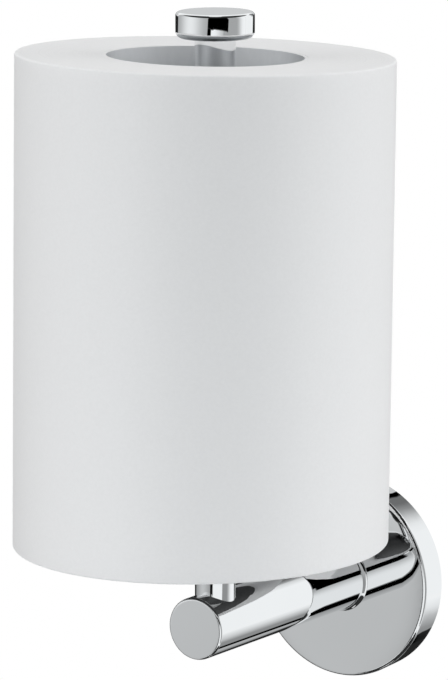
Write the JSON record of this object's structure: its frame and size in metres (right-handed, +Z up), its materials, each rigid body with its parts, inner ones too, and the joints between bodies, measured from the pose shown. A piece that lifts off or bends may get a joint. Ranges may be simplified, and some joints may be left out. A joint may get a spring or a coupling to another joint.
{
  "type": "spare toilet roll holder",
  "caption": "Wall-mounted spare toilet roll holder: round chromed rosette, level arm and upright capped rod on which a toilet roll stands, on a hidden turning seat.",
  "frame": {"origin": "centre of the wall bracket, on the wall's face", "axes": "+Z up, +Y into the wall, the arm stands out along -Y"},
  "size_m": [0.0772, 0.0944, 0.1476],
  "materials": {
    "chrome_plate": "polished chrome plate",
    "zinc_plate": "zinc-plated, dull",
    "plain_steel": "plain stainless steel",
    "seat_plastic": "moulded black plastic",
    "core_board": "grey cardboard, wound on the bias",
    "tissue_paper": "soft white tissue"
  },
  "bodies": {
    "holder": {"wall_bracket": "zinc_plate", "rosette": "chrome_plate", "rosette_grub_screw": "plain_steel", "arm": "chrome_plate", "arm_dowel": "plain_steel", "arm_washer": "plain_steel", "arm_screw": "plain_steel", "rod": "chrome_plate", "seat_clip": "plain_steel", "cap": "chrome_plate", "cap_stud": "plain_steel"},
    "seat": {"roll_seat": "seat_plastic"},
    "roll": {"roll_core": "core_board", "paper_roll": "tissue_paper"}
  },
  "joints": [
    {"name": "seat_spin", "type": "hinge", "parent": "holder", "child": "seat", "pos_m": [0, -0.0544, 0.0169], "axis": [0, 0, 1], "continuous": true},
    {"name": "roll_lift", "type": "slide", "parent": "seat", "child": "roll", "axis": [0, 0, 1], "range_m": [0, 0.116]}
  ]
}
